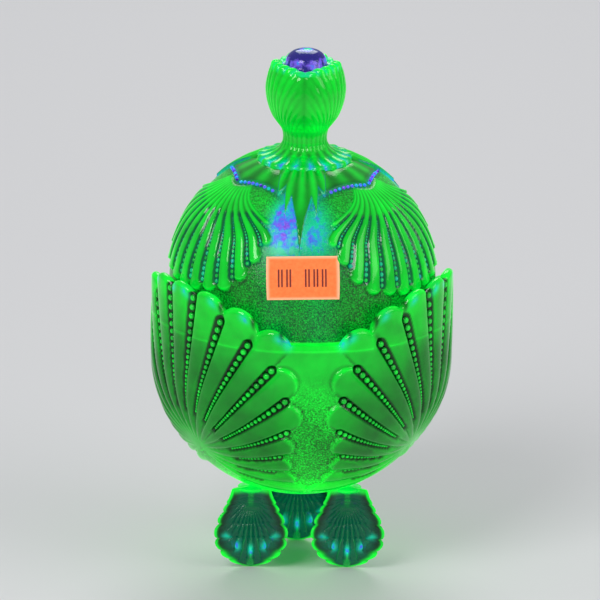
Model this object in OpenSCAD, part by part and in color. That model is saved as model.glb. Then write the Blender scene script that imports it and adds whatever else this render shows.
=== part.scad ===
// Covered dish of pressed glass: a round bowl on three scallop-shell feet, with a domed lid and a shell finial.
// Units are millimetres. The origin is on the ground under the bowl's centre, and +Z is up.
// One plain gap between the bowl's shells faces -Y.

/* [Bowl] */
// Outer radius of the bowl
bowl_r = 50; // [44:0.5:56]
// Height of the centre of the bowl's round bottom above the ground
bowl_centre_z = 74; // [70:0.5:80]
// Thickness of the bowl's side wall
wall = 4.5; // [3.5:0.1:5.5]
// Thickness of the glass at the bottom of the bowl
floor_wall = 6; // [4:0.5:9]
// Height of the rim in the gaps between the shells
gap_rim_z = 89.8; // [88.5:0.1:92]
// Height of the ledge that the lid sits on
seat_z = 87; // [84:0.1:88]
// Thickness of the rim above the ledge
rim_wall = 3; // [2.4:0.1:3.6]
// Number of scallop shells round the bowl
bowl_shells = 3; // [3:1:4]
// Height of a shell's middle lobe
shell_top_z = 105.4; // [100:0.1:108]
// Radius of one rounded lobe of the rim
rim_lobe_r = 7; // [5:0.5:8]
// How far the lobed wall stands out from the bowl
lobe_out = 0.6; // [0.2:0.1:1.2]

/* [Feet] */
// Distance of each foot's middle from the dish's axis
foot_r = 18.7; // [16:0.1:22]
// Radius from a foot's middle to the edge of its rims
foot_size = 14; // [12:0.1:15]
// Radius of one lobe on a foot's rim
foot_lobe_r = 2.2; // [1.6:0.1:2.8]
// Thickness of a foot's rims
foot_rim_t = 2.4; // [1.6:0.1:4]
// Radius of the thick middle of a foot
foot_core_r = 6; // [4:0.1:8]
// Radius of the flat spot that a foot stands on
foot_flat_r = 2.6; // [1.5:0.1:4]
// Angle by which the feet are turned from the middles of the shells
foot_turn = -4; // [-10:0.5:10]

/* [Lid] */
// Outer radius of the lid's dome
lid_r = 44.5; // [40:0.1:46]
// Height of the centre of the lid's dome
lid_centre_z = 98; // [94:0.5:102]
// Thickness of the lid
lid_wall = 3.8; // [3:0.1:5]
// Gap between the lid and the ledge and rim, all round
lid_clear = 0.15; // [0.1:0.05:0.4]
// Number of scallop shells round the lid
lid_shells = 3; // [3:1:5]
// Angle by which the lid is turned in its seat
lid_turn = -7; // [-45:0.5:45]

/* [Finial] */
// Radius of the neck at its thinnest
neck_r = 7.2; // [6:0.1:9]
// Radius of the finial across its shells
finial_r = 13.2; // [11:0.1:15]
// Height of the finial at its widest
finial_z = 164.5; // [160:0.5:168]
// Overall height of the dish with its lid on
top_z = 178; // [174:0.5:184]
// Radius of the smooth button on top of the finial
button_r = 6.8; // [5:0.1:8]

/* [Label] */
// Width of the paper price label
label_w = 24.6; // [18:0.2:28]
// Height of the paper price label
label_h = 14.4; // [10:0.2:18]
// Thickness of the paper price label
label_t = 0.15; // [0.1:0.05:0.4]
// Angle of the label round the lid, from -Y towards +X
label_az = -5.5; // [-12:0.5:12]
// How far the label is stuck on askew
label_tilt = 1.5; // [-5:0.5:5]

/* [Hidden] */
fn_round = 96;
fn_small = 32;

// Bowl: the inside is a round-bottomed well under the ledge.
well_r = bowl_r - wall - 1.5;
well_floor_z = bowl_centre_z - bowl_r + floor_wall;
well_centre_z = well_floor_z + well_r;
seat_r = bowl_r - rim_wall;
// Rim lobes on one side of a shell, as [angle from the shell's middle, height of the lobe's top].
shell_pitch = 360 / bowl_shells;
lobe_steps = [0, 14.4, 28.6, 42.4];
lobe_drops = [0, 0.8, 4.2, 10.4];
lobe_sides = [for (k = [-3 : 3]) [sign(k) * lobe_steps[abs(k)], shell_top_z - lobe_drops[abs(k)]]];
// Foot: three upright rims round a middle, each half a disc with a lobed edge
foot_ring = foot_size - foot_lobe_r;
foot_rims = 3;
foot_lobe_step = 18;
foot_lobes = 4;
foot_root = 5;
// Lid
lid_base_z = seat_z + lid_clear;
lid_rim_r = seat_r - 0.6;
lid_rim_h = 2;
collar_r = 14.6;
collar_z = lid_centre_z + sqrt(lid_r * lid_r - collar_r * collar_r);
collar_petals = 16;
collar_petal_r = 2.9;
neck_z = 147.2;
finial_tip_z = 174.6;
// Tips of a pleated pendant, seen from above, from its middle outward as [sideways, outward]
pendant_tips = [[0, 38.4], [5.2, 30.6], [8, 22.5]];
pendant_root = 12;
pendant_h = 1.2;
label_z = 111.5;
label_gap = 0.02;

// Places its children round the axis at an angle measured from -Y towards +X.
module at_azimuth(angle) {
    rotate([0, 0, angle])
        children();
}

// The bowl as one turned profile: round below, straight above, with its well.
module bowl_body() {
    rotate_extrude($fn = fn_round)
        intersection() {
            difference() {
                union() {
                    translate([0, bowl_centre_z])
                        circle(r = bowl_r, $fn = fn_round);
                    translate([0, bowl_centre_z])
                        square([bowl_r, gap_rim_z - bowl_centre_z]);
                }
                translate([0, well_centre_z])
                    circle(r = well_r, $fn = fn_round);
                translate([0, well_centre_z])
                    square([well_r, shell_top_z]);
                translate([0, seat_z])
                    square([seat_r, shell_top_z]);
            }
            square([bowl_r + 1, gap_rim_z]);
        }
}

// The scalloped wall above the gaps: one radial cylinder for each lobe, filled in below.
module rim_lobes() {
    intersection() {
        difference() {
            translate([0, 0, seat_z + 1])
                cylinder(r = bowl_r + lobe_out, h = shell_top_z, $fn = fn_round);
            translate([0, 0, seat_z])
                cylinder(r = seat_r + 0.3, h = shell_top_z + 2, $fn = fn_round);
        }
        for (s = [0 : bowl_shells - 1])
            for (lobe = lobe_sides)
                at_azimuth((s + 0.5) * shell_pitch + lobe[0])
                    rotate([90, 0, 0]) {
                        translate([0, lobe[1] - rim_lobe_r, 0])
                            cylinder(r = rim_lobe_r, h = bowl_r + 5, $fn = fn_round);
                        translate([-rim_lobe_r, seat_z - 2, 0])
                            cube([2 * rim_lobe_r, lobe[1] - rim_lobe_r - seat_z + 2, bowl_r + 5]);
                    }
    }
}

// The outline of one rim of a foot, in its own plane: half a disc with lobes round its edge.
module foot_rim_outline() {
    translate([0, foot_size])
        intersection() {
            union() {
                circle(r = foot_ring + 1, $fn = fn_round);
                for (k = [-foot_lobes : foot_lobes])
                    rotate(k * foot_lobe_step)
                        translate([foot_ring, 0])
                            circle(r = foot_lobe_r, $fn = fn_small);
            }
            translate([0, -foot_size])
                square(2 * foot_size);
        }
}

// One foot: three lobed rims round a thick middle, so that each side is a dished shell.
module foot() {
    translate([0, -foot_r, 0]) {
        for (k = [0 : foot_rims - 1])
            at_azimuth(k * 360 / foot_rims)
                rotate([90, 0, -90])
                    translate([0, 0, -foot_rim_t / 2])
                        linear_extrude(height = foot_rim_t)
                            foot_rim_outline();
        cylinder(r = foot_flat_r, h = foot_size, $fn = fn_small);
        intersection() {
            translate([0, 0, foot_size])
                sphere(r = foot_size - 1.5, $fn = fn_round);
            cylinder(r = foot_core_r, h = 2 * foot_size, $fn = fn_round);
        }
        translate([0, 0, foot_size])
            cylinder(r = foot_root, h = foot_size + 1, $fn = fn_small);
    }
}

module dish() {
    color([0.1, 0.85, 0.25, 0.8])
        union() {
            bowl_body();
            rim_lobes();
            for (s = [0 : bowl_shells - 1])
                at_azimuth((s + 0.5) * shell_pitch + foot_turn)
                    foot();
        }
}

// The lid as one turned profile: rim, dome, collar, neck and finial, over its hollow.
module lid_turned() {
    rotate_extrude($fn = fn_round)
        difference() {
            union() {
                intersection() {
                    translate([0, lid_centre_z])
                        circle(r = lid_r, $fn = fn_round);
                    translate([0, lid_centre_z])
                        square(lid_r + 1);
                }
                translate([0, lid_base_z])
                    square([lid_r, lid_centre_z - lid_base_z]);
                translate([0, lid_base_z])
                    square([lid_rim_r, lid_rim_h]);
                translate([0, collar_z - 3])
                    square([collar_r, 3]);
                // Neck, with a hollow round its waist, and the ball of the finial
                difference() {
                    translate([0, collar_z - 1])
                        square([collar_r - 2, finial_z - collar_z]);
                    translate([neck_r + 11.5, neck_z + 3.2])
                        circle(r = 11.5, $fn = fn_round);
                }
                intersection() {
                    translate([0, finial_z - 2])
                        circle(r = finial_r, $fn = fn_round);
                    square([finial_r, finial_tip_z - 3]);
                }
                translate([0, top_z - button_r])
                    circle(r = button_r, $fn = fn_round);
            }
            translate([0, lid_centre_z])
                circle(r = lid_r - lid_wall, $fn = fn_round);
            square([lid_r - lid_wall, lid_centre_z]);
            translate([-top_z, 0])
                square([top_z, 2 * top_z]);
        }
}

// One pleated pendant that hangs from the collar over the gap between two shells.
module pendant() {
    right = [for (k = [0 : 2]) [pendant_tips[k][0], -pendant_tips[k][1]]];
    valleys = [for (k = [0 : 1]) (right[k] + right[k + 1]) / 2 + [0, 3.4]];
    half = [right[0], valleys[0], right[1], valleys[1], right[2], [pendant_root / 2, -pendant_root]];
    intersection() {
        translate([0, 0, lid_centre_z])
            difference() {
                sphere(r = lid_r + pendant_h, $fn = fn_round);
                sphere(r = lid_r - 1, $fn = fn_round);
            }
        translate([0, 0, lid_centre_z])
            linear_extrude(height = 2 * lid_r)
                polygon(concat(half, [for (k = [5 : -1 : 1]) [-half[k][0], half[k][1]]]));
    }
}

// The scalloped edge of the collar under the neck.
module collar_scallops() {
    for (k = [0 : collar_petals - 1])
        at_azimuth((k + 0.5) * 360 / collar_petals)
            translate([0, -collar_r + 1, collar_z - 3])
                cylinder(r = collar_petal_r, h = 3, $fn = fn_small);
}

module lid() {
    color([0.1, 0.7, 0.3, 0.7])
        at_azimuth(lid_turn)
            union() {
                lid_turned();
                collar_scallops();
                for (s = [0 : lid_shells - 1])
                    at_azimuth(s * 360 / lid_shells)
                        pendant();
            }
}

// A paper label that follows the dome.
module price_label() {
    color([1, 0.55, 0.3])
        at_azimuth(label_az)
            intersection() {
                translate([0, 0, lid_centre_z])
                    difference() {
                        sphere(r = lid_r + label_gap + label_t, $fn = fn_round);
                        sphere(r = lid_r + label_gap, $fn = fn_round);
                    }
                translate([0, 0, label_z])
                    rotate([0, label_tilt, 0])
                        translate([-label_w / 2, -lid_r - 5, -label_h / 2])
                            cube([label_w, lid_r + 5, label_h]);
            }
}

dish();
lid();
price_label();
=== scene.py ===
"""Covered dish of green glowing pressed glass on three scallop-shell feet.

Lengths are in millimetres inside the builders and become metres when a mesh is made.
Azimuths are in degrees from -Y towards +X.
"""

import math

import bpy
import numpy as np
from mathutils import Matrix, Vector


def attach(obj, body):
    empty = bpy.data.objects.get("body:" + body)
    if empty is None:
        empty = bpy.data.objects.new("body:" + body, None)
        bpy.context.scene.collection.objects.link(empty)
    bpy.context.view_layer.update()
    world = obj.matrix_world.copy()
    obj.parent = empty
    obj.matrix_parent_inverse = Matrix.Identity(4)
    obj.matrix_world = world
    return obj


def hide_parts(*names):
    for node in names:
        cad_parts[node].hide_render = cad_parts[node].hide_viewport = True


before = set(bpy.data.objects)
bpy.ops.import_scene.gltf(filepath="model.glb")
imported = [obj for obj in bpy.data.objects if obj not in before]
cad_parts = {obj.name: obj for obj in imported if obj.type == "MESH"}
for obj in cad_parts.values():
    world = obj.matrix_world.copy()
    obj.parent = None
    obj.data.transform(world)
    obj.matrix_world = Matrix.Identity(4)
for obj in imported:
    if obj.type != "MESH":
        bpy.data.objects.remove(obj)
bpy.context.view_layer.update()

MM = 0.001
RNG = np.random.default_rng(7)

# The dish is three-fold: azimuths of the middles of the shells and of the gaps between them
PITCH = 120.0
SHELLS = (60.0, 180.0, 300.0)
GAPS = (0.0, 120.0, 240.0)

# Bowl
BOWL_Z = 74.0
BOWL_R = 50.0
WELL_R = 44.0
SEAT_Z = 87.0
SEAT_R = 47.0
GAP_RIM_Z = 89.8
SHELL_TOP_Z = 105.4
LOBE_STEPS = (0.0, 14.4, 28.6, 42.4)
LOBE_DROPS = (0.0, 0.8, 4.2, 10.4)
BOWL_HINGE = 124.0
BOWL_PITCH = 15.0
BOWL_ROW_ENDS = (63.5, 61, 60, 58.6, 54, 46.5, 38.5, 33.5, 28)
# How far from the hinge the ribs and the bead rows of a shell reach, in degrees, and the bead sizes in mm
BOWL_FAN = {
    "tips": (90, 90, 90, 82, 64, 56.5, 46.5, 42, 42, 46),
    "row_ends": BOWL_ROW_ENDS,
    "radius": BOWL_R,
    "row_start": 20.0,
    "row_full": 62.0,
    "bead_small": 0.55,
    "bead_big": 1.3,
    "rib_start": 1.0,
}
# Kinds of surface round the bowl's profile
OUTSIDE, RIM, RIM_INSIDE, LEDGE, WELL = range(5)
# Lid
LID_Z = 98.0
LID_R = 44.5
LID_TURN = -7.3
LID_HINGE = 20.0
LID_RIB_AT = (0, 9.6, 19.3, 29.0, 38.4, 47.2, 55.8, 62.2, 68.0)
LID_ROW_ENDS = (60, 59.8, 59.8, 57.8, 52.6, 45.2, 38)
LID_FAN = {
    "tips": (65.5, 65.3, 64.6, 64, 60, 53.2, 46.6, 37.4),
    "row_ends": LID_ROW_ENDS,
    "radius": LID_R,
    "row_start": 31.0,
    "row_full": 58.0,
    "bead_small": 0.4,
    "bead_big": 0.9,
    "rib_start": 12.0,
}
LID_INNER_R = 40.7
# Kinds of surface round the lid's profile
DOME, COLLAR, STEM, CROWN, BASE, HOLLOW, BUTTON = range(7)
# Stretches of the lid's profile, as (radius, height)
BASE_PROFILE = (
    (40.9, 87.3), (41.4, 87.15), (45.8, 87.15), (46.3, 87.35), (46.4, 88.0), (46.4, 88.7), (46.1, 89.1),
    (45.2, 89.3), (44.7, 89.6),
)
COLLAR_PROFILE = (
    (15.5, 139.9), (15.45, 140.5), (15.3, 141.0), (14.9, 141.4), (14.3, 141.6), (13.2, 141.8), (12.0, 142.1),
    (10.8, 142.6), (9.7, 143.2), (8.8, 144.0),
)
STEM_PROFILE = (
    (7.9, 145.0), (7.35, 146.2), (7.2, 147.4), (7.25, 148.6), (7.5, 149.8), (7.9, 150.9), (8.6, 152.0),
    (9.4, 153.0), (10.2, 154.1), (11.0, 155.3), (11.6, 156.6), (12.1, 157.9), (12.5, 159.2), (12.85, 160.5),
    (13.1, 161.8), (13.25, 163.1), (13.35, 164.4), (13.3, 165.6), (13.15, 166.8), (12.95, 168.0),
    (12.7, 169.2), (12.5, 170.1), (12.2, 171.0), (11.8, 171.8),
)
CROWN_PROFILE = ((11.5, 172.3), (11.1, 172.8), (10.5, 173.1), (9.8, 173.2), (9.0, 172.9), (8.2, 172.4))
BUTTON_PROFILE = (
    (7.5, 172.2), (7.0, 173.2), (6.75, 174.3), (6.55, 175.0), (6.1, 175.8), (5.4, 176.5), (4.4, 177.2),
    (3.2, 177.65), (1.6, 177.95), (0.0, 178.0),
)
# How far out a pendant reaches at each azimuth from its middle
PENDANT_AZ = (0, 2.6, 7.2, 9.6, 13.5, 17.5, 23, 30)
PENDANT_REACH = (39.2, 32.5, 26.0, 31.6, 22.5, 25.5, 18.5, 14.0)
COLLAR_PETALS = 18
# Distance from the axis of the straight row of beads beside a pendant, and its direction
CHORD = 23.4
CHORD_AZ = 40.0
# Feet
FOOT_R = 18.7
FOOT_Z = 14.0
FOOT_TURN = -4.0
FOOT_HEIGHTS = (0, 0.4, 1.2, 2.6, 5.0, 7.5, 9.8, 12.1, 15.0, 18.1, 22.4, 26.0, 28.0)
FOOT_RIMS = (0, 3.4, 5.6, 8.2, 11.2, 13.2, 14.3, 14.8, 14.5, 13.3, 10.6, 8.4, 7.7)
FOOT_FAN_Z = 25.0
# Label
LABEL_SIZE = (24.6, 14.4)
LABEL_AZ = -5.3
LABEL_TILT = -1.5
LABEL_RISE = 13.5


def smooth(a, b, x):
    t = np.clip((x - a) / (b - a), 0.0, 1.0)
    return t * t * (3.0 - 2.0 * t)


def bump(x, width):
    return np.exp(-((x / width) ** 2))


def wrap(angle, period):
    """The angle's distance from the nearest multiple of the period, with its sign."""
    return (angle + period / 2) % period - period / 2


def spin(points, angle):
    """Points turned about +Z by an azimuth."""
    a = math.radians(angle)
    c, s = math.cos(a), math.sin(a)
    out = points.copy()
    out[..., 0] = c * points[..., 0] - s * points[..., 1]
    out[..., 1] = s * points[..., 0] + c * points[..., 1]
    return out


def polar(r, az, z):
    a = np.radians(az)
    return np.stack([r * np.sin(a), -r * np.cos(a), z + 0.0 * r], axis=-1)


# ---------------------------------------------------------------- meshes


def make_mesh(name, verts, faces, attrs, mat):
    """A mesh object in metres with one float attribute for each name in attrs."""
    me = bpy.data.meshes.new(name)
    me.from_pydata((verts * MM).tolist(), [], faces)
    for key, values in attrs.items():
        layer = me.attributes.new(key, "FLOAT", "POINT")
        layer.data.foreach_set("value", np.ascontiguousarray(values, dtype=np.float32))
    me.polygons.foreach_set("use_smooth", [True] * len(me.polygons))
    me.materials.append(mat)
    me.update()
    ob = bpy.data.objects.new(name, me)
    bpy.context.scene.collection.objects.link(ob)
    return ob


def ring_faces(rows, cols):
    """Quads between neighbouring rows of a grid that closes round its columns."""
    i = np.arange(rows - 1)[:, None]
    j = np.arange(cols)[None, :]
    k = (j + 1) % cols
    quads = np.stack([i * cols + j, i * cols + k, (i + 1) * cols + k, (i + 1) * cols + j], axis=-1)
    return quads.reshape(-1, 4)


def closed_grid(name, pts, attrs, mat):
    """A closed skin: the rows of pts are rings, and the first and last rows become one point each."""
    rows, cols = pts.shape[:2]
    inner = pts[1:-1].reshape(-1, 3)
    verts = np.vstack([inner, pts[0].mean(axis=0), pts[-1].mean(axis=0)])
    quads = ring_faces(rows - 2, cols).tolist()
    first = len(inner)
    last = first + 1
    base = (rows - 3) * cols
    for j in range(cols):
        k = (j + 1) % cols
        quads.append([first, k, j])
        quads.append([last, base + j, base + k])
    data = {}
    for key, a in attrs.items():
        data[key] = np.concatenate([a[1:-1].reshape(-1), [a[0].mean(), a[-1].mean()]])
    return make_mesh(name, verts, quads, data, mat)


def bead_mesh(name, centres, radii, normals, tones, painted_sheens, mat):
    """Many small glass beads as one mesh, each with a painted highlight on top and painted shade where it
    meets the glass.
    """
    ring = 9
    lat = np.radians([0.0, 32.0, 62.0, 92.0])
    unit = [[0, 0, 1.0]]
    for a in lat[1:]:
        for k in range(ring):
            b = 2 * math.pi * k / ring
            unit.append([math.sin(a) * math.cos(b), math.sin(a) * math.sin(b), math.cos(a)])
    unit.append([0, 0, -0.4])
    unit = np.array(unit)
    faces = []
    for k in range(ring):
        n = (k + 1) % ring
        faces.append([0, 1 + k, 1 + n])
        for level in (0, 1):
            a = 1 + level * ring
            faces.append([a + k, a + ring + k, a + ring + n, a + n])
        a = 1 + 2 * ring
        faces.append([a + k, len(unit) - 1, a + n])
    verts = []
    allfaces = []
    tone = []
    painted_sheen = []
    for c, r, n, t, sh in zip(centres, radii, normals, tones, painted_sheens):
        n = np.array(n) / np.linalg.norm(n)
        side = np.cross(n, [0.0, 0.0, 1.0])
        if np.linalg.norm(side) < 1e-3:
            side = np.array([1.0, 0.0, 0.0])
        side = side / np.linalg.norm(side)
        other = np.cross(n, side)
        base = len(verts)
        for u in unit:
            verts.append(c + r * (u[0] * side + u[1] * other + u[2] * n))
            # Painted highlight and shade: the bead's tone is dark at its foot and bright on its top
            tone.append(t * (0.05 + 0.95 * float(smooth(0.15, 0.8, np.array(u[2])))))
            painted_sheen.append(sh)
        allfaces.extend([[base + i for i in f] for f in faces])
    data = {"tone": np.array(tone), "painted_sheen": np.array(painted_sheen), "stipple": np.zeros(len(tone))}
    return make_mesh(name, np.array(verts), allfaces, data, mat)


def glass_data(tone, painted_sheen, stipple):
    """The attributes that the glass material reads, within their ranges."""
    return {"tone": np.clip(tone, 0, 1), "painted_sheen": np.clip(painted_sheen, 0, 2), "stipple": np.clip(stipple, 0, 1)}


# ---------------------------------------------------------------- materials


class Nodes:
    """Short helpers for a material's node tree."""

    def __init__(self, name):
        self.mat = bpy.data.materials.new(name)
        self.mat.use_nodes = True
        self.tree = self.mat.node_tree
        self.bsdf = self.tree.nodes["Principled BSDF"]
        self.out = self.tree.nodes["Material Output"]

    def new(self, kind, **values):
        node = self.tree.nodes.new(kind)
        for key, value in values.items():
            setattr(node, key, value)
        return node

    def link(self, a, b):
        self.tree.links.new(a, b)

    def attr(self, name):
        return self.new("ShaderNodeAttribute", attribute_name=name).outputs["Fac"]

    def ramp(self, fac, stops):
        node = self.new("ShaderNodeValToRGB")
        el = node.color_ramp.elements
        while len(el) < len(stops):
            el.new(0.5)
        for e, (pos, col) in zip(el, stops):
            e.position = pos
            e.color = (*col, 1.0)
        self.link(fac, node.inputs["Fac"])
        return node.outputs["Color"]

    def math(self, op, a, b=None, c=None):
        node = self.new("ShaderNodeMath", operation=op)
        for socket, value in zip(node.inputs, (a, b, c)):
            if value is None:
                continue
            if isinstance(value, (int, float)):
                socket.default_value = value
            else:
                self.link(value, socket)
        return node.outputs[0]

    def mix(self, fac, a, b):
        node = self.new("ShaderNodeMix", data_type="RGBA")
        for socket, value in ((node.inputs[0], fac), (node.inputs[6], a), (node.inputs[7], b)):
            if isinstance(value, (int, float)):
                socket.default_value = value
            elif isinstance(value, tuple):
                socket.default_value = (*value, 1.0)
            else:
                self.link(value, socket)
        return node.outputs[2]

    def noise(self, scale, detail=2.0, rough=0.5):
        node = self.new("ShaderNodeTexNoise")
        node.inputs["Scale"].default_value = scale
        node.inputs["Detail"].default_value = detail
        node.inputs["Roughness"].default_value = rough
        self.link(self.coord, node.inputs["Vector"])
        return node.outputs["Fac"]


def glass(name, glow_strength, transmission, density):
    n = Nodes(name)
    n.coord = n.new("ShaderNodeTexCoord").outputs["Object"]
    tone = n.attr("tone")
    painted_sheen = n.attr("painted_sheen")
    stipple = n.attr("stipple")
    grain = n.noise(1500.0, 3.0, 0.6)
    cloud = n.noise(80.0, 4.0, 0.6)
    speck = n.noise(1900.0, 1.5, 0.6)
    # The tone carries painted glow and painted shade; it varies slowly at random, with speckle where the
    # glass is stippled
    t1 = n.math("MULTIPLY_ADD", n.math("SUBTRACT", cloud, 0.5), 0.42, tone)
    t2 = n.math("MULTIPLY_ADD", n.math("MULTIPLY", n.math("SUBTRACT", speck, 0.48), stipple), 1.5, t1)
    levels = [(0.0, 0.0), (0.2, 0.029), (0.35, 0.099), (0.5, 0.218), (0.65, 0.388), (0.8, 0.612), (1.0, 1.0)]
    base = n.ramp(t2, [(t, (0.0, 0.5 * g + 0.002, 0.022 * g + 0.001)) for t, g in levels])
    # glow: the painted glow, an emission colour that rises with the tone
    glow = n.ramp(t2, [(t, (0.002 * g, g, 0.042 * g + 0.004 * (t > 0))) for t, g in levels])
    # Painted reflections: the painted sheen attribute blends in cyan, blue, violet and dark navy
    tint = n.math("ADD", n.noise(420.0, 2.0, 0.6), n.math("MULTIPLY_ADD", painted_sheen, 0.5, -0.35))
    reflection_stops = [
        (0.34, (0.0, 0.55, 0.36)),
        (0.48, (0.01, 0.3, 0.7)),
        (0.6, (0.04, 0.1, 0.85)),
        (0.72, (0.2, 0.03, 0.8)),
        (0.9, (0.02, 0.0, 0.2)),
    ]
    reflection_colour = n.ramp(tint, reflection_stops)
    spread = n.math("MULTIPLY", n.math("MINIMUM", n.math("MULTIPLY", painted_sheen, 1.7), 1.0), 0.92)
    n.link(n.mix(spread, base, reflection_colour), n.bsdf.inputs["Base Color"])
    # The glass emits the mixed colour: a painted glow, with painted reflections where there is painted sheen
    n.link(n.mix(spread, glow, reflection_colour), n.bsdf.inputs["Emission Color"])
    n.bsdf.inputs["Emission Strength"].default_value = glow_strength
    n.bsdf.inputs["Transmission Weight"].default_value = transmission
    n.bsdf.inputs["IOR"].default_value = 1.5
    n.bsdf.inputs["Specular IOR Level"].default_value = 0.18
    n.link(n.math("MULTIPLY_ADD", stipple, 0.2, 0.07), n.bsdf.inputs["Roughness"])
    b = n.new("ShaderNodeBump")
    b.inputs["Distance"].default_value = 0.0003
    n.link(n.math("MULTIPLY_ADD", stipple, 0.75, 0.06), b.inputs["Strength"])
    n.link(grain, b.inputs["Height"])
    n.link(b.outputs["Normal"], n.bsdf.inputs["Normal"])
    v = n.new("ShaderNodeVolumeAbsorption")
    v.inputs["Color"].default_value = (0.1, 0.95, 0.25, 1.0)
    v.inputs["Density"].default_value = density
    n.link(v.outputs["Volume"], n.out.inputs["Volume"])
    return n.mat


def paper(name):
    n = Nodes(name)
    n.coord = n.new("ShaderNodeTexCoord").outputs["Object"]
    ink = n.attr("ink")
    edge = n.attr("edge")
    fibre = n.noise(900.0, 4.0, 0.6)
    sheet = n.ramp(fibre, [(0.3, (0.86, 0.155, 0.03)), (0.7, (0.94, 0.21, 0.05))])
    sheet = n.mix(edge, sheet, (1.0, 0.52, 0.3))
    full = n.mix(ink, sheet, (0.11, 0.006, 0.012))
    n.link(full, n.bsdf.inputs["Base Color"])
    # The paper also emits its own colour weakly: a painted glow
    n.link(full, n.bsdf.inputs["Emission Color"])
    n.bsdf.inputs["Emission Strength"].default_value = 0.3
    n.bsdf.inputs["Roughness"].default_value = 0.75
    b = n.new("ShaderNodeBump")
    b.inputs["Distance"].default_value = 0.00005
    b.inputs["Strength"].default_value = 0.4
    n.link(fibre, b.inputs["Height"])
    n.link(b.outputs["Normal"], n.bsdf.inputs["Normal"])
    return n.mat


BOWL_GLASS = glass("bowl_glass", 0.75, 0.65, 30.0)
FOOT_GLASS = glass("foot_glass", 0.75, 0.65, 60.0)
LID_GLASS = glass("lid_glass", 0.75, 0.65, 30.0)
LABEL_PAPER = paper("label_paper")


# ---------------------------------------------------------------- fans of ribs


def fan_angles(offset, rho, dz, hinge, down):
    """Angle from a shell's hinge and angle round it, for points seen from the ball's middle."""
    a = np.radians(offset)
    length = np.sqrt(rho * rho + dz * dz)
    side = rho * np.sin(a) / length
    out = rho * np.cos(a) / length
    up = dz / length
    p = math.radians(hinge)
    cosine = out * math.sin(p) + up * math.cos(p)
    sign = 1.0 if down else -1.0
    along = sign * (out * math.cos(p) - up * math.sin(p))
    return np.degrees(np.arccos(np.clip(cosine, -1, 1))), np.degrees(np.arctan2(side, along))


def fan_point(alpha, phi, hinge, down):
    """Direction (side, out, up) from the ball's middle of a point in a shell's fan."""
    p = math.radians(hinge)
    a = np.radians(alpha)
    f = np.radians(phi)
    sign = 1.0 if down else -1.0
    h = np.array([0.0, math.sin(p), math.cos(p)])
    v = sign * np.array([0.0, math.cos(p), -math.sin(p)])
    t = np.array([1.0, 0.0, 0.0])
    return np.cos(a) * h + np.sin(a) * (np.cos(f) * v + np.sin(f) * t)


def fan_relief(alpha, place, half, fan):
    """Height of a shell and masks for its painted shade: rounded ribs with lobed ends, troughs for the bead
    rows that get painted shade, a painted bright line inside each lobe's end and painted shade just past it.

    place counts the ribs from the shell's middle, half is half a rib's width in degrees, and fan is
    BOWL_FAN or LID_FAN.
    """
    tips = fan["tips"]
    row_ends = fan["row_ends"]
    row_start = fan["row_start"]
    degree = math.pi / 180 * fan["radius"]
    k = np.round(place)
    u = np.clip(2 * (place - k), -1, 1)
    ki = np.abs(k).astype(int)
    inside = ki < len(tips)
    tip = np.take(np.array(tips, float), np.clip(ki, 0, len(tips) - 1))
    curve = half * np.sin(np.radians(np.minimum(tip, 80)))
    limit = tip - curve * (1 - np.sqrt(np.clip(1 - u * u, 0, 1)))
    mask = (1 - smooth(limit - 1.4, limit, alpha)) * inside
    edge = bump(alpha - limit + 0.8, 0.75) * inside
    shade = bump(alpha - limit - 0.7, 0.7) * inside
    row = np.clip(np.floor(np.abs(place)), 0, len(row_ends) - 1).astype(int)
    row_end = np.take(np.array(row_ends, float), row)
    across = np.abs(np.abs(place) - (row + 0.5)) * 2 * half * degree * np.sin(np.radians(alpha))
    growth = smooth(row_start, fan["row_full"], alpha)
    size = fan["bead_small"] + (fan["bead_big"] - fan["bead_small"]) * growth
    reach = size * 1.5 + 0.1
    present = smooth(row_start - 3, row_start, alpha) * (np.abs(place) < len(row_ends))
    past = np.maximum(alpha - row_end, 0) * degree
    trough = present * (1 - smooth(reach * 0.75, reach, np.hypot(across, past)))
    rib = (1 - np.abs(u) ** 2.4) * smooth(fan["rib_start"], fan["rib_start"] + 24, alpha)
    return rib * mask, mask, edge, trough, shade, u


# ---------------------------------------------------------------- bowl


def rim_top(az):
    """Height of the bowl's rim at an azimuth."""
    offset = wrap(az - SHELLS[0], PITCH)
    top = np.full_like(offset, GAP_RIM_Z)
    for step, drop in zip(LOBE_STEPS, LOBE_DROPS):
        for sign in (-1, 1):
            x = (offset - sign * step) / 8.3
            z = SHELL_TOP_Z - drop - 7.0 * (1 - np.sqrt(np.clip(1 - x * x, 0, 1)))
            top = np.where(np.abs(x) < 1, np.maximum(top, z), top)
    return top


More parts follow.
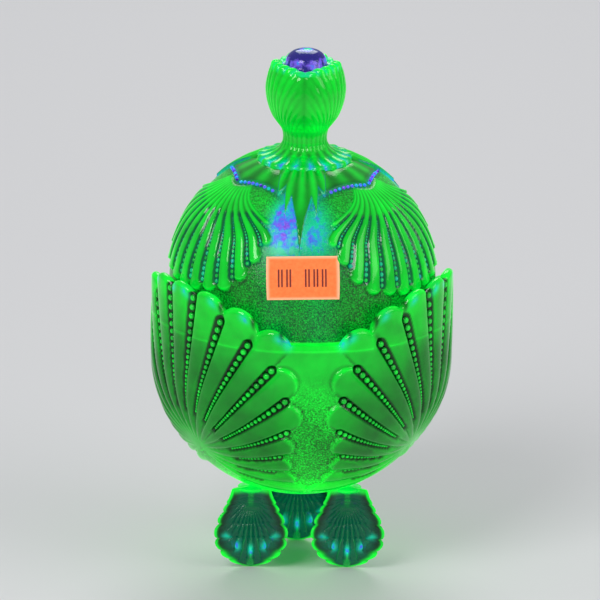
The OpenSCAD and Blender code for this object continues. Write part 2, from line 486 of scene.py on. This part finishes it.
def build_bowl():
    cols = 720
    az = np.arange(cols) * 360.0 / cols
    top = rim_top(az)
    low = np.linspace(180.0, 90.0, 150)
    rows_r, rows_z, kind = [], [], []
    for p in low:
        a = math.radians(p)
        rows_r.append(np.full(cols, BOWL_R * math.sin(a)))
        rows_z.append(np.full(cols, BOWL_Z + BOWL_R * math.cos(a)))
        kind.append(OUTSIDE)
    edge_r = 1.5
    for t in np.linspace(0, 1, 62)[1:]:
        rows_r.append(np.full(cols, BOWL_R))
        rows_z.append(BOWL_Z + t * (top - edge_r - BOWL_Z))
        kind.append(OUTSIDE)
    for a in np.linspace(0, math.pi, 9)[1:-1]:
        rows_r.append(np.full(cols, BOWL_R - edge_r + edge_r * math.cos(a)))
        rows_z.append(top - edge_r + edge_r * math.sin(a))
        kind.append(RIM)
    for t in np.linspace(0, 1, 16):
        rows_r.append(np.full(cols, SEAT_R))
        rows_z.append(top - edge_r + t * (SEAT_Z - top + edge_r))
        kind.append(RIM_INSIDE)
    for r in (46.0, 44.8, 44.1):
        rows_r.append(np.full(cols, r))
        rows_z.append(np.full(cols, SEAT_Z))
        kind.append(LEDGE)
    for z in np.linspace(SEAT_Z - 0.5, BOWL_Z, 8):
        rows_r.append(np.full(cols, WELL_R))
        rows_z.append(np.full(cols, z))
        kind.append(WELL)
    for p in np.linspace(90, 180, 44)[1:]:
        a = math.radians(p)
        rows_r.append(np.full(cols, WELL_R * math.sin(a)))
        rows_z.append(np.full(cols, BOWL_Z + WELL_R * math.cos(a)))
        kind.append(WELL)
    r = np.array(rows_r)
    z = np.array(rows_z)
    kind = np.array(kind)
    azg = np.broadcast_to(az, r.shape)
    offset = wrap(azg - SHELLS[0], PITCH)
    dz = z - BOWL_Z
    alpha, phi = fan_angles(offset, np.maximum(r, 0.01), dz, BOWL_HINGE, False)
    rib, mask, edge, trough, shade, u = fan_relief(alpha, phi / BOWL_PITCH, BOWL_PITCH / 2, BOWL_FAN)
    kind = kind[:, None]
    outer = (kind <= RIM) * np.ones_like(r)
    deep = smooth(176, 168, np.degrees(np.arctan2(r, dz)))
    # The ribs flatten out towards the hinge and under the bowl
    lift = 1.35 * rib - 0.75 - 0.45 * trough + 0.35 * edge * (1 - 0.4 * trough)
    lift = lift * deep
    length = np.sqrt(r * r + np.minimum(dz, 0) ** 2)
    scale = 1 + outer * lift / np.maximum(length, 1)
    r2 = r * scale
    z2 = np.where(dz < 0, BOWL_Z + dz * scale, z)
    gap = 1 - mask
    # Tones: painted glow and painted shade. The glow is brighter low on the bowl, near the rim, on the rim
    # and lobe edges and in a line at the ledge's height; painted shade darkens the creases between ribs, the
    # lines past the lobe ends, the notches of the rim and the bead troughs
    pol = np.degrees(np.arctan2(r, dz))
    low_glow = smooth(118, 150, pol)
    rim_glow = smooth(9.0, 1.5, top[None, :] - z)
    field = 0.55 + 0.08 * smooth(52, 66, z) + 0.12 * smooth(62, 74, z) + 0.3 * smooth(42, 29, z)
    shell = 0.42 + 0.24 * smooth(36, 60, alpha) + 0.1 * np.abs(u) ** 3
    shell = shell + 0.3 * low_glow + 0.1 * smooth(26, 8, alpha)
    tone = field * gap + shell * mask
    crease_shade = bump(np.abs(u) - 1, 0.14) * mask * smooth(4, 14, alpha) * (1 - rim_glow)
    tone = tone - 0.3 * crease_shade * (1 - 0.5 * low_glow)
    tone = tone + 0.16 * edge - 0.16 * shade * (1 - 0.5 * low_glow)
    tone = tone + 0.1 * rim_glow * mask
    # A bright painted line at the ledge's height: a painted image of the ledge seen through the glass
    tone = tone + 0.14 * bump(z - 88.0, 0.45) * outer
    tone = np.where(kind == RIM, 0.84, tone)
    # Painted shade in the notches between the rim's lobes
    notch_shade = np.zeros_like(tone)
    for step in (7.2, 21.5, 35.6, 46.8):
        notch_shade = np.maximum(notch_shade, bump(np.abs(offset) - step, 0.75))
    notch_shade = notch_shade * smooth(4.5, 0.5, top[None, :] - z) * outer
    tone = tone * (1 - 0.7 * notch_shade)
    # Painted shade in the bead troughs
    tone = tone * (1 - 0.97 * trough * outer)
    tone = np.where(kind == RIM_INSIDE, 0.6, tone)
    tone = np.where(kind == LEDGE, 0.8, tone)
    tone = np.where(kind == WELL, 0.5 + 0.3 * low_glow, tone)
    stipple = gap * outer * smooth(80, 102, pol) * (1 - 0.6 * smooth(150, 165, pol))
    # Painted reflections: bluish spots under the rim's lobes and beside the outermost lobes
    painted_sheen = np.zeros_like(tone)
    for step, drop in zip(LOBE_STEPS, LOBE_DROPS):
        for sign in (-1, 1):
            spot = bump(offset - sign * step - 3.5 * sign, 1.7) * bump(top[None, :] - z - 2.2, 1.3)
            painted_sheen = painted_sheen + 0.5 * spot * outer
    painted_sheen = painted_sheen + 0.55 * bump(np.abs(offset) - 49.5, 1.6) * bump(z - 90.5, 2.0) * outer
    pts = polar(r2, azg, z2)
    return closed_grid("bowl", pts, glass_data(tone, np.minimum(painted_sheen, 1), stipple), BOWL_GLASS)


def bowl_beads():
    centres, radii, normals, tones, painted_sheens = [], [], [], [], []
    for shell in SHELLS:
        for row, end in enumerate(BOWL_ROW_ENDS):
            for sign in (-1, 1):
                phi = sign * (row + 0.5) * BOWL_PITCH
                alpha = end
                while alpha > 20.0:
                    size = 0.55 + 0.75 * float(smooth(20, 62, np.array(alpha)))
                    d = fan_point(alpha, phi, BOWL_HINGE, False)
                    if d[2] > 0:
                        k = BOWL_R / math.hypot(d[0], d[1])
                    else:
                        k = BOWL_R
                    p = d * k * ((BOWL_R - 0.95) / BOWL_R)
                    pos = np.array([p[0], -p[1], p[2] + BOWL_Z])
                    nor = np.array([d[0], -d[1], min(d[2], 0.0)])
                    c = spin(np.array([pos, nor]), shell)
                    centres.append(c[0])
                    normals.append(c[1])
                    radii.append(size)
                    tones.append(0.72 + 0.2 * RNG.random())
                    painted_sheens.append(0.0)
                    alpha -= math.degrees(2.04 * size / BOWL_R)
    return bead_mesh("bowl_beads", centres, radii, normals, tones, painted_sheens, BOWL_GLASS)


# ---------------------------------------------------------------- feet


def build_foot(name, azimuth):
    """A foot of three dished scallop shells back to back, which share three lobed rims."""
    cols = 480
    around = np.arange(cols) * 360.0 / cols
    t = np.concatenate([np.linspace(0, 12, 7), np.linspace(14, 166, 96), np.linspace(168, 180, 6)])
    t = np.radians(t)
    delta = np.abs(wrap(around, 120.0))[None, :] * np.ones((len(t), 1))
    height = FOOT_Z * (1 - np.cos(t)[:, None])
    circle = np.interp(height, FOOT_HEIGHTS, FOOT_RIMS)
    # The faces are flat triangles' sides, hollowed inside the rims
    toward = np.radians(60.0 - delta)
    lateral = 0.5 * circle * np.tan(toward)
    to_rim = circle * 0.866 - lateral
    fan = np.degrees(np.arctan2(lateral, np.maximum(FOOT_FAN_Z - height, 0.1)))
    pitch = 10.0
    v = wrap(fan, pitch) / (pitch / 2)
    rim_fan = np.degrees(np.arctan2(circle * 0.866, np.maximum(FOOT_FAN_Z - height, 0.1)))
    vr = wrap(rim_fan - 3.0, 11.5) / 5.75
    lobed = smooth(26.0, 22.0, height)
    outline = circle * (1 - 0.11 * lobed * (1 - np.sqrt(np.clip(1 - vr * vr, 0, 1))))
    inside = smooth(1.3, 2.9, to_rim)
    hollow = 2.1 * inside * smooth(0.5, 5.0, circle)
    away = np.hypot(lateral, FOOT_FAN_Z - height)
    flute = (1 - np.abs(v) ** 1.6) * inside * smooth(2.0, 9.0, away)
    depth = 0.5 * outline - hollow * np.minimum(outline / 12.0, 1.0) + 0.75 * flute
    r = depth / np.cos(toward)
    tip_round = smooth(0.0, 7.0, delta)
    r = np.minimum(r, outline * (1 - 0.03 * (1 - tip_round)))
    root = smooth(24.5, 27.5, height) * 4.5
    r = np.maximum(r, root)
    height = np.broadcast_to(height, r.shape)
    pts = polar(r, np.broadcast_to(around, r.shape), height)
    pts[..., 2] = np.maximum(pts[..., 2], 0.0)
    pts[..., 1] -= FOOT_R
    pts = spin(pts, azimuth)
    # Tones: painted glow and painted shade. The faces are dark with brighter flutes and a brighter lower
    # part, painted shade lies between the flutes, the rim is painted bright, and the top where the foot meets
    # the bowl is bright
    low = smooth(11.0, 4.0, height)
    rim = 1 - smooth(0.9 + 0.5 * low, 1.8 + 0.8 * low, to_rim)
    tone = 0.06 + 0.08 * flute + 0.04 * low
    tone = tone - 0.1 * bump(np.abs(v) - 1, 0.3) * inside * smooth(3, 9, away)
    tone = tone * (1 - rim) + rim * (0.92 - 0.3 * lobed * vr ** 4)
    tone = np.maximum(tone, 0.8 * smooth(25.0, 27.5, height))
    # Painted glints: short bright strokes low in the flutes, carried by the painted sheen, with a faint
    # painted sheen over the faces
    strokes = np.abs(np.cos(np.radians(fan * 9.0))) ** 3
    glint = bump(height - 7.0 - 0.04 * lateral ** 2, 2.4) * inside * strokes
    painted_sheen = 0.75 * glint ** 2 + 0.06 * inside
    return closed_grid(name, pts, glass_data(tone, painted_sheen, np.zeros_like(tone)), FOOT_GLASS)


# ---------------------------------------------------------------- lid


def lid_gather(alpha):
    """How much the lid's ribs draw together towards the top of their shell."""
    return 0.58 + 0.42 * smooth(16, 44, alpha)


def pendant_limit(az):
    """How far out from the axis a pendant reaches, by azimuth from its middle."""
    return np.interp(np.abs(az), PENDANT_AZ, PENDANT_REACH)


def build_lid():
    cols = 720
    az = np.arange(cols) * 360.0 / cols
    prof = []
    for p in np.linspace(0, 90, 30):
        a = math.radians(p)
        prof.append((LID_INNER_R * math.sin(a), LID_Z + LID_INNER_R * math.cos(a), HOLLOW))
    prof += [(LID_INNER_R, z, HOLLOW) for z in (95, 92, 89.5, 87.8)]
    prof += [(*q, BASE) for q in BASE_PROFILE]
    prof += [(LID_R, z, DOME) for z in np.linspace(90, LID_Z, 12)]
    for p in np.linspace(90, 20.5, 134)[1:]:
        a = math.radians(p)
        prof.append((LID_R * math.sin(a), LID_Z + LID_R * math.cos(a), DOME))
    prof += [(*q, COLLAR) for q in COLLAR_PROFILE]
    # Each step of the stem is halved
    for a, b in zip(STEM_PROFILE[:-1], STEM_PROFILE[1:]):
        prof += [(*a, STEM), ((a[0] + b[0]) / 2, (a[1] + b[1]) / 2, STEM)]
    prof += [(*q, CROWN) for q in CROWN_PROFILE]
    prof += [(*q, BUTTON) for q in BUTTON_PROFILE]
    r = np.array([q[0] for q in prof])[:, None] * np.ones(cols)
    z = np.array([q[1] for q in prof])[:, None] * np.ones(cols)
    kind = np.array([q[2] for q in prof])[:, None] * np.ones(cols)
    azg = np.broadcast_to(az, r.shape)
    offset = wrap(azg - SHELLS[0], PITCH)
    gap_az = wrap(azg, PITCH)
    dz = z - LID_Z
    alpha, phi = fan_angles(offset, np.maximum(r, 0.01), dz, LID_HINGE, True)
    gather = lid_gather(alpha)
    place = np.sign(phi) * np.interp(np.abs(phi) / gather, LID_RIB_AT, np.arange(len(LID_RIB_AT)))
    rib, mask, edge, trough, shade, u = fan_relief(alpha, place, 4.8 * gather, LID_FAN)
    mask = mask * smooth(15.0, 17.0, alpha + 0.25 * np.abs(place))
    dome = kind == DOME
    mask = mask * dome
    edge = edge * dome
    trough = trough * dome
    shade = shade * dome
    lift = np.where(dome, 0.8 * rib * mask + 0.3 * mask - 0.35 * trough + 0.3 * edge, 0.0)
    # Pendant
    limit = pendant_limit(gap_az)
    pend = smooth(limit + 0.25, limit - 0.35, r) * dome
    ridge = 0.5 + 0.5 * np.cos(np.radians(gap_az) * 360 / 9.6)
    pend_edge = bump(r - limit, 0.55) * (np.abs(gap_az) < 24) * dome
    # The chord of beads from the pendant to the hinge, and the facets inside it
    chord = r * np.cos(np.radians(np.abs(gap_az) - CHORD_AZ))
    facet = smooth(22.8, 22.1, chord) * dome * (1 - pend)
    lift = lift * (1 - pend) * (1 - facet) + pend * (0.75 + 0.5 * ridge * smooth(36, 22, r)) + 0.35 * facet
    length = np.sqrt(r * r + np.maximum(dz, 0) ** 2)
    grow = 1 + lift / np.maximum(length, 1)
    r2 = np.where(dome, r * grow, r)
    z2 = np.where(dome & (dz > 0), LID_Z + dz * grow, z)
    # Fluted collar and neck
    wave = np.abs(np.cos(np.radians(azg) * COLLAR_PETALS / 2))
    collar = kind == COLLAR
    r2 = np.where(collar, r2 * (1 + 0.075 * (wave - 0.6) * smooth(8.5, 14.0, r)), r2)
    z2 = np.where(collar, z2 + 0.5 * (wave - 0.6) * smooth(8.5, 12.0, r) * smooth(16.5, 14, r), z2)
    # Finial: three upright shells with fine ribs that fan out upward
    stem = (kind == STEM) | (kind == CROWN)
    across = np.radians(offset) * r
    fan = np.degrees(np.arctan2(across, np.maximum(z - 147.0, 0.5)))
    fans = smooth(148, 153, z)
    fan_ribs = np.abs(np.cos(np.radians(fan) * 27)) * (0.3 + 0.7 * smooth(0, 24, 60 - np.abs(offset)))
    neck_ribs = np.abs(np.cos(np.radians(azg) * 14))
    rib2 = fans * fan_ribs + (1 - fans) * neck_ribs
    seam = bump(np.abs(offset) - 60.0, 3.5) * smooth(149, 155, z)
    q = np.abs(offset) / 60.0
    r2 = np.where(stem, r2 + 0.26 * rib2 - 0.15 - 0.4 * seam * smooth(174, 168, z), r2)
    z2 = np.where(kind == CROWN, z2 + 0.9 + 0.9 * (rib2 - 0.6) - 1.2 * q ** 2, z2)
    # Tones: painted glow and painted shade. The glow is brighter towards the top of the dome, on the shells,
    # the lobe edges, the pendant's ridges, the collar's petals, the finial's ribs and the base; painted shade
    # darkens the creases, the lines past the lobe ends, the bead troughs, the pendant's edge, the chord
    # beside it and most of the button
    pol = np.degrees(np.arctan2(r, dz))
    field = 0.44 + 0.16 * smooth(66, 40, pol)
    shell = 0.68 + 0.14 * (1 - np.abs(u)) + 0.1 * smooth(34, 18, alpha)
    tone = field * (1 - mask) + shell * mask
    crease_shade = bump(np.abs(u) - 1, 0.3) * mask * smooth(16, 20, alpha)
    tone = tone - 0.2 * crease_shade + 0.16 * edge - 0.12 * shade
    tone = tone * (1 - 0.9 * trough)
    tone = np.where(facet > 0.5, 0.58 + 0.12 * np.cos(np.radians(azg) * COLLAR_PETALS), tone)
    tone = np.where(pend > 0.5, 0.56 + 0.26 * ridge - 0.3 * smooth(26, 36, r) * ridge, tone)
    tone = tone * (1 - 0.85 * pend_edge) * (1 - 0.6 * bump(chord - 23.2, 1.3) * dome * (1 - pend))
    tone = np.where(collar, 0.5 + 0.26 * wave ** 2, tone)
    tone = np.where(kind == STEM, 0.64 + 0.12 * rib2 - 0.08 * seam - 0.06 * smooth(152, 147, z), tone)
    tone = np.where(kind == CROWN, 0.68 + 0.2 * rib2, tone)
    tone = np.where(kind == BASE, 0.85, tone)
    tone = np.where(kind == HOLLOW, 0.45, tone)
    tone = np.where(kind == BUTTON, 0.2 + 0.5 * smooth(4.2, 2.6, r), tone)
    stipple = np.where(dome, 0.8 * (1 - mask) * (1 - pend) * (1 - facet), 0.0)
    # Painted reflections: bluish patches on the open field beside each pendant, along the pendant's edge and
    # the chord, in the bead troughs, dark violet over the button, and in the hollows of the crown and collar
    painted_sheen = np.zeros_like(tone)
    open_field = dome * (1 - mask) * (1 - pend)
    painted_sheen = painted_sheen + 1.0 * bump(gap_az + 9.5, 7.5) * bump(r - 33.0, 6.0) * open_field
    painted_sheen = painted_sheen + 0.42 * bump(gap_az - 9.0, 8.0) * bump(r - 33.5, 7.0) * open_field
    painted_sheen = painted_sheen + 0.3 * bump(gap_az, 14.0) * bump(r - 37.0, 3.0) * open_field
    painted_sheen = painted_sheen + 0.3 * pend_edge + 0.16 * bump(chord - 23.2, 0.8) * dome * (1 - pend)
    painted_sheen = painted_sheen + 0.06 * trough
    painted_sheen = painted_sheen + np.where(kind == BUTTON, (1.8 - 0.55 * bump(r - 6.6, 0.7)) * smooth(1.2, 2.0, r), 0.0)
    painted_sheen = painted_sheen + np.where(kind == CROWN, 0.35 * (1 - rib2), 0.0)
    painted_sheen = painted_sheen + np.where(collar, 0.6 * (1 - wave) * smooth(9, 14, r), 0.0)
    pts = spin(polar(r2, azg, z2), LID_TURN)
    return closed_grid("lid_skin", pts, glass_data(tone, painted_sheen, stipple), LID_GLASS)


def lid_beads():
    centres, radii, normals, tones, painted_sheens = [], [], [], [], []

    def add(pos, nor, turn, size, tone, painted_sheen):
        c = spin(np.array([pos, nor]), turn + LID_TURN)
        centres.append(c[0])
        normals.append(c[1])
        radii.append(size)
        tones.append(tone)
        painted_sheens.append(painted_sheen)

    at = [(a + b) / 2 for a, b in zip(LID_RIB_AT[:-1], LID_RIB_AT[1:])]
    for shell in SHELLS:
        for row, end in enumerate(LID_ROW_ENDS):
            for sign in (-1, 1):
                alpha = end
                while alpha > 31.0:
                    size = 0.4 + 0.48 * float(smooth(31, 58, np.array(alpha)))
                    phi = sign * at[row] * float(lid_gather(np.array(alpha)))
                    d = fan_point(alpha, phi, LID_HINGE, True)
                    p = d * (LID_R - 0.25)
                    if d[2] < 0:
                        p = d * (LID_R - 0.25) / math.hypot(d[0], d[1])
                    pos = np.array([p[0], -p[1], p[2] + LID_Z])
                    nor = np.array([d[0], -d[1], max(d[2], 0)])
                    # Each bead gets a random tone and a random painted sheen, a painted reflection
                    add(pos, nor, shell, size, 0.62 + 0.2 * RNG.random(), 0.35 * RNG.random())
                    alpha -= math.degrees(2.04 * size / LID_R)
    # Chords of larger beads from each pendant to the hinge of the shell beside it
    for gap in GAPS:
        for sign in (-1, 1):
            for k in range(-4, 5):
                along = k * 1.75
                a = math.radians(sign * CHORD_AZ)
                x = CHORD * math.sin(a) + along * math.cos(a)
                y = -(CHORD * math.cos(a) - along * math.sin(a))
                h = math.sqrt(LID_R ** 2 - x * x - y * y)
                n = np.array([x, y, h]) / LID_R
                # The chord's beads are given a strong painted sheen: painted bluish reflections
                add(n * (LID_R + 0.1) + [0, 0, LID_Z], n, gap, 0.62, 0.45, 0.6 + 0.7 * RNG.random())
    return bead_mesh("lid_beads", centres, radii, normals, tones, painted_sheens, LID_GLASS)


# ---------------------------------------------------------------- label


def build_label():
    """A thin paper label bent over the dome, printed with plain marks."""
    w, h = LABEL_SIZE
    tilt = math.radians(LABEL_TILT)
    nx, ny = 165, 97
    u = np.linspace(-0.5, 0.5, nx)[None, :] * np.ones((ny, 1)) * w
    v = np.linspace(-0.5, 0.5, ny)[:, None] * np.ones((1, nx)) * h
    uu = u * math.cos(tilt) + v * math.sin(tilt)
    vv = -u * math.sin(tilt) + v * math.cos(tilt)
    radius = LID_R + 0.3
    rise = math.asin(LABEL_RISE / LID_R)
    out = np.array([0.0, -math.cos(rise), math.sin(rise)])
    up = np.array([0.0, math.sin(rise), math.cos(rise)])
    a = (uu / radius)[..., None]
    b = (vv / radius)[..., None]
    across = np.array([1.0, 0.0, 0.0])
    top = radius * (np.cos(b) * (np.cos(a) * out + np.sin(a) * across) + np.sin(b) * up) + [0, 0, LID_Z]
    under = top - 0.11 * (top - [0, 0, LID_Z]) / radius
    verts = np.vstack([top.reshape(-1, 3), under.reshape(-1, 3)])
    n = nx * ny
    i = np.arange(ny - 1)[:, None] * nx + np.arange(nx - 1)[None, :]
    quads = np.stack([i, i + 1, i + nx + 1, i + nx], axis=-1).reshape(-1, 4)
    faces = quads.tolist()
    faces += (quads[:, ::-1] + n).tolist()
    border = [k for k in range(nx)] + [nx - 1 + nx * k for k in range(1, ny)]
    border += [n - 1 - k for k in range(1, nx)] + [nx * (ny - 1 - k) for k in range(1, ny - 1)]
    for b, c in zip(border, border[1:] + border[:1]):
        faces.append([c, b, b + n, c + n])
    ink = np.zeros_like(u)

    def bar(x0, x1, y0, y1):
        s = 0.12
        along = smooth(x0 - s, x0 + s, u) * smooth(x1 + s, x1 - s, u)
        upright = smooth(y0 - s, y0 + s, v) * smooth(y1 + s, y1 - s, v)
        np.maximum(ink, along * upright, out=ink)

    # Two groups of plain upright bars stand in for the printing
    for x in (-7.6, -4.8, 1.4, 4.2, 7.0):
        bar(x - 0.75, x - 0.2, -3.0, 2.9)
        bar(x + 0.35, x + 0.9, -3.0, 2.9)
    side_edge = smooth(w / 2 - 1.5, w / 2 - 0.2, np.abs(u))
    end_edge = smooth(h / 2 - 1.2, h / 2 - 0.1, np.abs(v))
    edge = np.maximum(side_edge, end_edge)
    data = {"ink": np.tile(ink.reshape(-1), 2), "edge": np.tile(edge.reshape(-1) * 0.75, 2)}
    return make_mesh("label_sheet", spin(verts, LABEL_AZ), faces, data, LABEL_PAPER)


bowl = build_bowl()
beads = bowl_beads()
feet = [build_foot("foot_" + side, turn + FOOT_TURN) for side, turn in zip(("right", "rear", "left"), SHELLS)]
lid = build_lid()
lid_dots = lid_beads()
label = build_label()

for piece in [bowl, beads] + feet:
    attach(piece, "dish")
for piece in (lid, lid_dots):
    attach(piece, "lid")
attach(label, "lid")
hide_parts("dish")
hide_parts("lid")
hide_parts("price_label")


# ---------------------------------------------------------------- stage


def stage():
    me = bpy.data.meshes.new("floor")
    s = 6.0
    me.from_pydata([(-s, -s, 0), (s, -s, 0), (s, s, 0), (-s, s, 0)], [], [(0, 1, 2, 3)])
    ob = bpy.data.objects.new("floor", me)
    bpy.context.scene.collection.objects.link(ob)
    n = Nodes("floor_pale")
    n.bsdf.inputs["Base Color"].default_value = (0.62, 0.62, 0.63, 1.0)
    n.bsdf.inputs["Roughness"].default_value = 0.6
    me.materials.append(n.mat)
    world = bpy.data.worlds.new("studio")
    bpy.context.scene.world = world
    world.use_nodes = True
    bg = world.node_tree.nodes["Background"]
    bg.inputs["Color"].default_value = (0.85, 0.87, 0.9, 1.0)
    bg.inputs["Strength"].default_value = 0.4
    lamps = (
        ("key", (-0.55, -0.7, 0.85), 0.5, 7.0),
        ("fill", (0.8, -0.5, 0.6), 0.7, 3.5),
        ("back", (0.1, 0.9, 0.9), 0.7, 6.0),
    )
    for name, place, size, power in lamps:
        light = bpy.data.lights.new(name, "AREA")
        light.size = size
        light.energy = power
        lo = bpy.data.objects.new(name, light)
        lo.location = place
        lo.rotation_euler = (Vector((0, 0, 0.09)) - Vector(place)).to_track_quat("-Z", "Y").to_euler()
        bpy.context.scene.collection.objects.link(lo)
    bpy.context.scene.view_settings.view_transform = "Standard"


def camera():
    cam = bpy.data.cameras.new("camera")
    ob = bpy.data.objects.new("camera", cam)
    bpy.context.scene.collection.objects.link(ob)
    az, el, dist, roll = math.radians(-5.5), math.radians(17.5), 4.0, math.radians(1.0)
    right = Vector((math.cos(az), math.sin(az), 0))
    aim = Vector((0, 0, 0.0905)) - right * 0.0007
    away = Vector((math.sin(az) * math.cos(el), -math.cos(az) * math.cos(el), math.sin(el)))
    ob.location = aim + away * dist
    quat = (-away).to_track_quat("-Z", "Y")
    ob.rotation_euler = quat.to_euler()
    ob.rotation_euler.rotate_axis("Z", roll)
    cam.lens = 717.6
    cam.clip_start = 0.05
    cam.clip_end = 30
    bpy.context.scene.camera = ob


stage()
camera()
